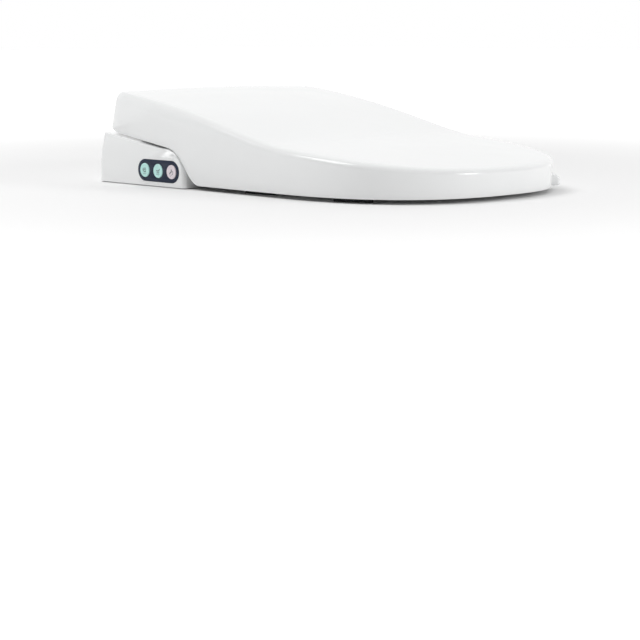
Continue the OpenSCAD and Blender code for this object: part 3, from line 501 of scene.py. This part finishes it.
def make_lid():
    lid = finish_piece("lid", lid_skin(), "white_shell", "lid", "lid_shell")
    lid.data.shade_smooth()
    subdivide(lid, 2)
    wall = lid.modifiers.new("wall", "SOLIDIFY")
    wall.thickness = LID_WALL * MM
    wall.offset = -1
    wall.use_even_offset = False
    edge = lid.modifiers.new("edge", "BEVEL")
    edge.width = 0.6 * MM
    edge.segments = 2
    edge.limit_method = "ANGLE"
    edge.angle_limit = math.radians(50)


def make_lifting_tab():
    """The finger tab moulded on the front corner of the lid."""
    bm = bmesh.new()
    bmesh.ops.create_grid(bm, x_segments=6, y_segments=3, size=1.0)
    for vert in bm.verts:
        across, out = vert.co.x, (vert.co.y + 1) / 2
        tip = TAB_LENGTH - 2.2 * across ** 4
        vert.co = Vector((lerp(TAB_HALF_W, 12.0, out) * across, lerp(-TAB_ROOT, tip, out), 0)) * MM
    bmesh.ops.solidify(bm, geom=bm.faces, thickness=TAB_HEIGHT * MM)
    bmesh.ops.recalc_face_normals(bm, faces=bm.faces)
    low = min(v.co.z for v in bm.verts)
    bmesh.ops.translate(bm, verts=bm.verts, vec=(0, 0, -low))
    # the top slopes down towards the tip
    for vert in bm.verts:
        if vert.co.z > TAB_HEIGHT / 2 * MM:
            vert.co.z -= 0.35 * max(0.0, vert.co.y)
    rim = [e for e in bm.edges if e.calc_face_angle(0) > SHARP]
    bmesh.ops.bevel(bm, geom=rim, offset=2.4 * MM, offset_type="OFFSET", segments=3, profile=0.5,
                    affect="EDGES", clamp_overlap=True, material=-1)
    corner = place(LID_HALF * TAB_ALONG, WIDEST_D + NOSE * TAB_AHEAD, LID_GAP + 0.2)
    # local +y runs out of the lid, forward and to the right
    bmesh.ops.transform(bm, verts=bm.verts,
                        matrix=Matrix.Translation(corner) @ Matrix.Rotation(math.radians(-135), 4, "Z"))
    finish_piece("lid_lifting_tab", bm, "white_shell", "lid")


# ---------- seat ring ----------
SEAT_REAR_D = 192
SEAT_INSET = 10
OPENING_HALF_W = 104
OPENING_HALF_L = 135
OPENING_MID_D = 350
SEAT_STEPS = 96
BUMPER_H = 8
SEAT_H = 21
SEAT_WALL = 2.6
# the top shell's section from the rim to the opening: (share of the width, fall below the top in mm)
SEAT_SECTION = ((0, None), (0, 11.5), (0.015, 6.2), (0.08, 2.6), (0.26, 0.5), (0.5, 0), (0.74, 1.2),
                (0.92, 4.2), (0.985, 7.4), (1, 12), (1, None))


def oval(a, b, power, t):
    c, s = math.cos(t), math.sin(t)
    return Vector((a * math.copysign(abs(c) ** (2 / power), c), b * math.copysign(abs(s) ** (2 / power), s)))


def seat_point(t, share, fall, thick):
    front = math.sin(t) > 0
    rim = oval(LID_HALF - SEAT_INSET, NOSE - SEAT_INSET if front else WIDEST_D - SEAT_REAR_D,
               NOSE_POWER if front else 4, t) + Vector((0, WIDEST_D))
    hole = oval(OPENING_HALF_W, OPENING_HALF_L, 2.2, t) + Vector((0, OPENING_MID_D))
    width = (hole - rim).length
    at = rim.lerp(hole, lerp(thick / width, 1 - thick / width, share))
    if fall is None:
        return Vector((at.x, at.y, BUMPER_H + 28 * smooth((270 - at.y) / 75)))
    return Vector((at.x, at.y, BUMPER_H + SEAT_H + 28 * smooth((300 - at.y) / 110) - fall - thick))


def seat_shell():
    """The top shell: a closed section carried round the ring."""
    section = [(share, fall, 0) for share, fall in SEAT_SECTION]
    section += [(share, fall, SEAT_WALL) for share, fall in reversed(SEAT_SECTION)]
    bm = bmesh.new()
    turn = bm.verts.layers.int.new("turn")
    ring = bmesh.ops.create_circle(bm, segments=SEAT_STEPS, radius=1.0)["verts"]
    for i, vert in enumerate(ring):
        vert[turn] = i
        vert.co = place(*seat_point(2 * math.pi * i / SEAT_STEPS, *section[0]))
    first = list(bm.edges)
    border = first
    for row in section[1:]:
        grown = bmesh.ops.extrude_edge_only(bm, edges=border)["geom"]
        fresh = [g for g in grown if isinstance(g, bmesh.types.BMVert)]
        for vert in fresh:
            vert.co = place(*seat_point(2 * math.pi * vert[turn] / SEAT_STEPS, *row))
        fresh = set(fresh)
        border = [g for g in grown if isinstance(g, bmesh.types.BMEdge) and set(g.verts) <= fresh]
    bmesh.ops.bridge_loops(bm, edges=first + border)
    bmesh.ops.recalc_face_normals(bm, faces=bm.faces)
    return bm


def make_seat():
    seat = finish_piece("seat_top", seat_shell(), "white_shell", "seat", "seat_top_shell")
    seat.data.shade_smooth()
    subdivide(seat, 1)


# ---------- controls ----------
BUTTON_R = 8.8
BUTTON_PITCH = 25.5
PANEL_MID_D = 124
PANEL_Z = 20.2
# strokes of each key's mark, as (forward, up) points in mm, with the stroke's width
MARKS = {
    "button_rear_wash": (
        ([(-2.6, 2.2), (-3.3, 0.8), (-2.9, -0.9), (-1.2, -1.9), (1.0, -2.0), (2.2, -1.2)], 1.0),
        ([(-1.9, 0.9), (-0.4, 0.2), (1.8, 0.3)], 0.9),
        ([(-1.5, 2.6), (0.6, 2.0), (2.0, 2.4)], 0.8),
        ([(-1.4, -3.5), (-2.2, -5.3)], 0.55),
        ([(0.2, -3.5), (0.2, -5.5)], 0.55),
        ([(1.8, -3.5), (2.6, -5.3)], 0.55),
    ),
    "button_front_wash": (
        ([(-3.0, 0.6), (-1.4, 0.1), (0.6, 0.1), (2.2, 0.7), (3.2, 2.6)], 1.0),
        ([(-2.2, -1.6), (2.4, -1.6)], 0.7),
        ([(-1.6, -2.9), (-2.4, -4.9)], 0.55),
        ([(0.1, -2.9), (0.1, -5.2)], 0.55),
        ([(1.8, -2.9), (2.6, -4.9)], 0.55),
    ),
    "button_stop": (
        ([(0.2, 3.4), (0.4, 0.4)], 1.0),
        ([(0.6, 0.5), (-1.2, -0.6), (-3.2, -2.6)], 1.1),
        ([(2.2, 1.6), (3.3, -0.4), (2.7, -2.6), (0.9, -3.9)], 0.5),
        ([(-2.4, -4.6), (-0.6, -5.2)], 0.5),
    ),
}


def stroke(bm, points, width, x, thick):
    """A flat line of that width on a plane that faces -x, given a thickness."""
    points = [Vector(p) for p in points]
    loop = []
    for side in (1, -1):
        run = points if side == 1 else points[::-1]
        for i, point in enumerate(run):
            ahead = (run[min(i + 1, len(run) - 1)] - run[max(i - 1, 0)]).normalized()
            loop.append(point + Vector((-ahead.y, ahead.x)) * (width / 2))
    verts = [bm.verts.new((x, p.x, p.y)) for p in loop]
    count = len(points)
    faces = [bm.faces.new((verts[i], verts[i + 1], verts[-i - 2], verts[-i - 1])) for i in range(count - 1)]
    grown = bmesh.ops.extrude_face_region(bm, geom=faces)["geom"]
    bmesh.ops.translate(bm, verts=[g for g in grown if isinstance(g, bmesh.types.BMVert)], vec=(thick, 0, 0))


def make_button(node, step):
    """A key with a shallow dish, a rounded rim, its flange and its stem, and the mark printed on it."""
    centre = place(0, PANEL_MID_D + step * BUTTON_PITCH, PANEL_Z)
    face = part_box(node)[0].x / MM
    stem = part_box(node)[1].x / MM
    profile = [(face + 0.5, 0), (face + 0.45, 2.5), (face + 0.28, 5.4), (face + 0.06, 7.2), (face, 7.7),
               (face + 0.12, 8.3), (face + 0.5, 8.7), (face + 1.2, BUTTON_R), (stem - 4, BUTTON_R),
               (stem - 4, BUTTON_R + 1), (stem - 2.8, BUTTON_R + 1), (stem - 2.8, 2.5), (stem, 2.5),
               (stem, 0)]
    bm = turned(profile, centre, Vector((1, 0, 0)))
    finish_piece(node + "_key", bm, SLOT_OF[node], BODY_OF[node], node)
    marks = bmesh.new()
    for points, width in MARKS[node]:
        stroke(marks, points, width, 0, 0.5)
    bmesh.ops.scale(marks, verts=marks.verts, vec=(1, -1, 1))
    bmesh.ops.scale(marks, verts=marks.verts, vec=(MM, MM, MM))
    bmesh.ops.translate(marks, verts=marks.verts, vec=centre + Vector(((face + 0.24) * MM, 0, 0)))
    bmesh.ops.recalc_face_normals(marks, faces=marks.faces)
    finish_piece(node + "_mark", marks, SLOT_OF[node], BODY_OF[node], finish="print")


# ---------- the pieces ----------
make_lid()
make_lifting_tab()
make_seat()
for step, node in enumerate(MARKS, start=-1):
    make_button(node, step)

# rounding of the other nodes' edges, in mm, and the shortest edge that gets it
ROUNDED = {
    "base_cover": (0.9, 6), "control_bezel": (0.4, 0), "base_tray": (0.5, 6), "seat_bumpers": (1.2, 0),
    "base_pads": (0.8, 0), "lid_bumpers": (0.8, 0), "seat_hinge_arms": (1.2, 4), "lid_hinge_arms": (0.8, 4),
    "mounting_plate": (0.5, 0),
}
for node in SLOT_OF:
    if frame["nodes"][node].hide_render:
        continue
    if node in ROUNDED:
        softened(node, *ROUNDED[node])
    else:
        shown = frame["nodes"][node]
        shown.data.materials.clear()
        shown.data.materials.append(FINISHES[SLOT_OF[node]])


# ---------- floor and light ----------
def backdrop():
    """Matt white paper with a painted glow: it emits light that grows stronger away from the object."""
    material, tree = start("white_paper_with_painted_glow")
    where = add(tree, "ShaderNodeTexCoord").outputs["Object"]
    away = add(tree, "ShaderNodeVectorMath", {0: where}, operation="LENGTH")
    # painted glow: emission rises from none near the object to 0.5 far from it, standing in for light on the
    # paper
    glow = add(tree, "ShaderNodeMapRange", {"Value": away.outputs["Value"], "From Min": 0.4, "From Max": 1.8,
                                            "To Min": 0.0, "To Max": 0.5}, interpolation_type="SMOOTHSTEP")
    fibre = add(tree, "ShaderNodeTexNoise", {"Vector": where, "Scale": per_mm(3), "Detail": 2.0})
    relief = add(tree, "ShaderNodeBump", {"Height": fibre.outputs["Fac"], "Strength": 1.0,
                                          "Distance": 0.01 * MM})
    surface(tree, linear("f7f7f7"), 0.85, relief.outputs["Normal"],
            **{"Emission Color": (1, 1, 1, 1), "Emission Strength": glow.outputs["Result"]})
    return material


def make_floor():
    bm = bmesh.new()
    bmesh.ops.create_grid(bm, x_segments=1, y_segments=1, size=12.0)
    mesh = bpy.data.meshes.new("floor")
    bm.to_mesh(mesh)
    bm.free()
    mesh.materials.append(backdrop())
    floor = bpy.data.objects.new("floor", mesh)
    bpy.context.scene.collection.objects.link(floor)


def make_light(name, at, aim, size, power):
    data = bpy.data.lights.new(name, "AREA")
    data.shape = "RECTANGLE"
    data.size, data.size_y = size
    data.energy = power
    lamp = bpy.data.objects.new(name, data)
    lamp.location = at
    lamp.rotation_euler = (Vector(aim) - Vector(at)).to_track_quat("-Z", "Y").to_euler()
    bpy.context.scene.collection.objects.link(lamp)


def make_world(bright, dim, dim_side):
    """A white tent round the object, dimmer on the side that dim_side points to."""
    world = bpy.data.worlds.new("studio")
    world.use_nodes = True
    tree = world.node_tree
    tree.nodes.clear()
    where = add(tree, "ShaderNodeTexCoord").outputs["Generated"]
    facing = add(tree, "ShaderNodeVectorMath", {0: where, 1: dim_side}, operation="DOT_PRODUCT")
    strength = add(tree, "ShaderNodeMapRange", {"Value": facing.outputs["Value"], "From Min": -0.9,
                                                "From Max": 0.6, "To Min": bright, "To Max": dim},
                   interpolation_type="SMOOTHSTEP")
    sky = add(tree, "ShaderNodeBackground", {"Color": (1, 1, 1, 1), "Strength": strength.outputs["Result"]})
    add(tree, "ShaderNodeOutputWorld", {"Surface": sky.outputs["Background"]})
    bpy.context.scene.world = world


make_floor()
make_world(1.0, 0.38, (-0.69, -0.69, 0.22))
AIM = (0.0, -0.15, 0.06)
make_light("overhead_softbox", (-1.15, 0.6, 2.25), AIM, (1.3, 1.3), 28)
make_light("right_front_softbox", (1.05, -2.75, 0.95), AIM, (0.9, 0.45), 24)
